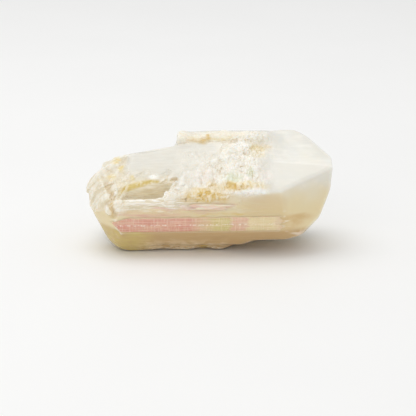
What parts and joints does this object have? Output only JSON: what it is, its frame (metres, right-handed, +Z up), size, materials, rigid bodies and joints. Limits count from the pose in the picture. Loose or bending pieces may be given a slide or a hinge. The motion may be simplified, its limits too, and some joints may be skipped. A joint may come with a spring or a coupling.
{
  "type": "rubellite tourmaline in quartz specimen",
  "caption": "Hand specimen of a milky quartz crystal lying on its side, with a long pink-to-green tourmaline pencil along its lower front edge and a pale granular crust.",
  "frame": {"origin": "centre of the bounding box's underside, on the surface that the specimen rests on", "axes": "+X along the quartz crystal towards its smooth faceted end, -Y out of the side that shows the tourmaline, +Z up"},
  "size_m": [0.065, 0.0288, 0.0299],
  "materials": {
    "milky_quartz": "milky, glassy on its crystal faces and granular on its crust",
    "rubellite": "glassy, striated along its length, pink passing to green and tan",
    "pale_rubellite": "glassy, striated, pale lavender pink"
  },
  "bodies": {
    "root": {"quartz_crystal": "milky_quartz", "rubellite_pencil": "rubellite", "rubellite_sliver": "pale_rubellite"}
  },
  "joints": []
}
